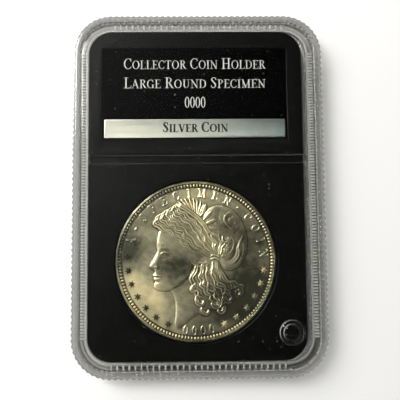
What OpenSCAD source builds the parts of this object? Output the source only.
// Coin slab: a clear two-shell display case for one large coin.
// It lies on its back. +Z points out of the front window, +Y towards the label end.

/* [Case] */
// Width of the case across the flutes
body_w = 60; // [56:0.5:70]
// Length of the case across the flutes
body_l = 86.5; // [84:0.5:96]
// Thickness of the case from the foot ring to the stacking rim
body_h = 8; // [7.4:0.1:10]
// Radius of the case's corners
corner_r = 9.3; // [8:0.1:12]
// Thickness of the front window and of the back plate
plate_t = 1.4; // [1:0.1:1.5]

/* [Edge] */
// Distance from one flute to the next
flute_pitch = 1.4; // [1.2:0.1:2.4]
// Depth of a flute
flute_depth = 0.3; // [0.1:0.05:0.4]
// Width of a flute's mouth
flute_w = 0.9; // [0.6:0.05:1]
// Distance from the edge to the stacking rim
rim_inset = 0.8; // [0.6:0.05:0.9]
// Width of the stacking rim
rim_w = 1.15; // [0.8:0.05:1.2]
// Height of the stacking rim and of the foot ring
rim_h = 0.8; // [0.4:0.1:1]

/* [Joint between the shells] */
// Distance from the edge to the inside of the front shell's skirt
skirt_w = 1.75; // [1.6:0.05:2.4]
// Distance from the edge to the cavity that holds the insert
wall_w = 3.65; // [3.5:0.05:3.7]
// Play between the skirt and the tongue
tongue_play = 0.15; // [0.1:0.05:0.3]
// Gap at the parting line
part_gap = 0.1; // [0.05:0.05:0.2]

/* [Insert] */
// Width of the insert
insert_w = 51.4; // [50:0.1:51.5]
// Length of the insert
insert_l = 78.9; // [77:0.1:78.9]
// Sideways place of the insert in its cavity
insert_x = -0.5; // [-0.5:0.1:0.5]
// Lengthways place of the insert in its cavity
insert_y = 0.1; // [-0.1:0.1:0.1]

/* [Label] */
// Width of the label card
card_w = 44.4; // [40:0.1:45]
// Length of the label card
card_l = 22.1; // [18:0.1:22.5]
// Thickness of the label card
card_t = 0.3; // [0.2:0.05:0.4]
// Lengthways place of the label card's middle
card_y = 24.3; // [24:0.1:24.6]
// Width of the silver strip
strip_w = 43.5; // [30:0.5:44]
// Length of the silver strip
strip_l = 4.5; // [3:0.1:6]
// Thickness of the silver strip
strip_t = 0.1; // [0.05:0.05:0.1]

/* [Coin] */
// Diameter of the coin
coin_d = 38.1; // [30:0.1:38.5]
// Thickness of the coin over its rim
coin_t = 2.4; // [2:0.1:2.5]
// Width of the coin's rim
coin_rim_w = 0.7; // [0.5:0.1:1.5]
// Depth of the coin's field below its rim
coin_field = 0.2; // [0.1:0.05:0.3]
// Lengthways place of the coin's middle
coin_y = -16.1; // [-17:0.1:-16]

/* [Cross rib and mould mark] */
// Width of the cross rib under the window
rib_w = 2; // [1.5:0.1:2.5]
// Height of the cross rib under the window
rib_h = 1; // [0.6:0.1:1]
// Lengthways place of the cross rib
rib_y = 8.2; // [8:0.1:9]
// Diameter of the moulded ring mark on the window
mark_d = 6; // [5:0.1:6.5]

/* [Hidden] */
$fn = 96;

// Levels from the foot ring up
back_z = rim_h;
floor_z = back_z + plate_t;
window_top_z = body_h - rim_h;
window_z = window_top_z - plate_t;
part_z = body_h / 2;
tongue_z = window_z - 0.1;
insert_top_z = window_z - 0.2;
card_z = insert_top_z - 0.5;
ring_h = 0.7;
coin_z = floor_z + ring_h;

// Places on the insert that share the label's and the coin's centre line
art_x = insert_x - 0.25;
recess_play = 0.15;
hole_d = coin_d + 0.6;
channel_play = 0.2;

// Flute cutter: the circle whose chord at the edge is flute_w and whose depth is flute_depth
flute_r = (flute_w * flute_w / 4 + flute_depth * flute_depth) / (2 * flute_depth);
flute_out = flute_r - flute_depth;

// Outline of the case as a path: four straights joined by quarter circles
side_x = body_w - 2 * corner_r;
side_y = body_l - 2 * corner_r;
bend = PI * corner_r / 2;
outline = 2 * (side_x + side_y) + 4 * bend;
flutes = round(outline / flute_pitch);

// Mould mark: a ring around a smaller ring, at the corner of the window
mark_x = 21.5;
mark_y = -32.9;
mark_line = 0.45;
mark_h = 0.15;

// Support ring under the coin
support_r = coin_d / 2 - 0.9;
support_w = 1;

clear = [0.86, 0.88, 0.88, 0.35];

// Place on the right half of the outline, s along it from the middle of the bottom edge
function half_place(s) =
    let (a = side_x / 2, b = a + bend, c = b + side_y, d = c + bend)
    s < a ? [s, -body_l / 2, -90] :
    s < b ? let (t = (s - a) / bend * 90 - 90)
        [a + corner_r * cos(t), corner_r - body_l / 2 + corner_r * sin(t), t] :
    s < c ? [body_w / 2, s - b - side_y / 2, 0] :
    s < d ? let (t = (s - c) / bend * 90)
        [a + corner_r * cos(t), body_l / 2 - corner_r + corner_r * sin(t), t] :
    [a - (s - d), body_l / 2, 90];

// Place on the whole outline: the left half is the right half turned by 180 degrees
function place(s) =
    s < outline / 2 ? half_place(s) :
    let (p = half_place(s - outline / 2)) [-p[0], -p[1], p[2] + 180];

module rounded(inset) {
    r = corner_r - inset;
    w = body_w - 2 * inset;
    l = body_l - 2 * inset;
    bar(w, l, r);
}

// Rectangle with round corners, centred on the origin
module bar(w, l, r) {
    square([w - 2 * r, l], center = true);
    square([w, l - 2 * r], center = true);
    for (x = [-1, 1], y = [-1, 1])
        translate([x * (w / 2 - r), y * (l / 2 - r)]) circle(r);
}

module fluted_outline() {
    difference() {
        rounded(0);
        for (i = [0 : flutes - 1]) {
            p = place((i + 0.5) * outline / flutes);
            translate([p[0] + flute_out * cos(p[2]), p[1] + flute_out * sin(p[2])])
                circle(flute_r, $fn = 32);
        }
    }
}

// Flat ring between two insets from the case's edge
module ring(outer, inner, z, h) {
    translate([0, 0, z]) linear_extrude(h) difference() {
        rounded(outer);
        rounded(inner);
    }
}

module disc_ring(r, w, z, h) {
    translate([0, 0, z]) difference() {
        cylinder(r = r, h = h);
        translate([0, 0, -1]) cylinder(r = r - w, h = h + 2);
    }
}

module back_shell() {
    color(clear) {
        difference() {
            translate([0, 0, back_z]) linear_extrude(part_z - back_z) fluted_outline();
            translate([0, 0, floor_z]) linear_extrude(body_h) rounded(wall_w);
        }
        ring(skirt_w + tongue_play, wall_w, part_z, tongue_z - part_z);
        ring(rim_inset + rim_w + 0.2, rim_inset + 2 * rim_w + 0.2, 0, back_z);
        translate([art_x, coin_y, 0])
            disc_ring(support_r, support_w, floor_z, ring_h);
    }
}

module front_shell() {
    color(clear) {
        difference() {
            translate([0, 0, part_z + part_gap])
                linear_extrude(window_top_z - part_z - part_gap) fluted_outline();
            translate([0, 0, part_z]) linear_extrude(window_z - part_z) rounded(skirt_w);
        }
        ring(rim_inset, rim_inset + rim_w, window_top_z, rim_h);
        translate([0, rib_y, window_z - rib_h]) linear_extrude(rib_h)
            bar(body_w - 2 * wall_w - 2 * tongue_play, rib_w, rib_w / 2 - 0.01);
        translate([mark_x, mark_y, 0]) {
            disc_ring(mark_d / 2, mark_line, window_top_z, mark_h);
            disc_ring(mark_d / 2 - 2 * mark_line, mark_line, window_top_z, mark_h);
        }
    }
}

module coin_insert() {
    color([0.03, 0.03, 0.03])
    difference() {
        translate([insert_x, insert_y, floor_z]) linear_extrude(insert_top_z - floor_z)
            bar(insert_w, insert_l, corner_r - wall_w);
        translate([art_x, card_y, card_z]) linear_extrude(body_h)
            square([card_w + 2 * recess_play, card_l + 2 * recess_play], center = true);
        translate([0, rib_y, window_z - rib_h - channel_play]) linear_extrude(body_h)
            square([body_w, rib_w + 2 * channel_play], center = true);
        translate([art_x, coin_y, 0]) cylinder(d = hole_d, h = body_h);
    }
}

module label_card() {
    color([0.01, 0.01, 0.01])
    translate([art_x, card_y, card_z]) linear_extrude(card_t)
        square([card_w, card_l], center = true);
}

module silver_strip() {
    color([0.75, 0.76, 0.7])
    translate([art_x, card_y - card_l / 2 + 0.2 + strip_l / 2, card_z + card_t])
        linear_extrude(strip_t) bar(strip_w, strip_l, 0.2);
}

module coin() {
    color([0.78, 0.76, 0.66])
    translate([art_x, coin_y, coin_z]) difference() {
        cylinder(d = coin_d, h = coin_t);
        for (z = [-coin_field, coin_t - coin_field])
            translate([0, 0, z]) cylinder(d = coin_d - 2 * coin_rim_w, h = 2 * coin_field);
    }
}

back_shell();
coin_insert();
label_card();
silver_strip();
coin();
front_shell();
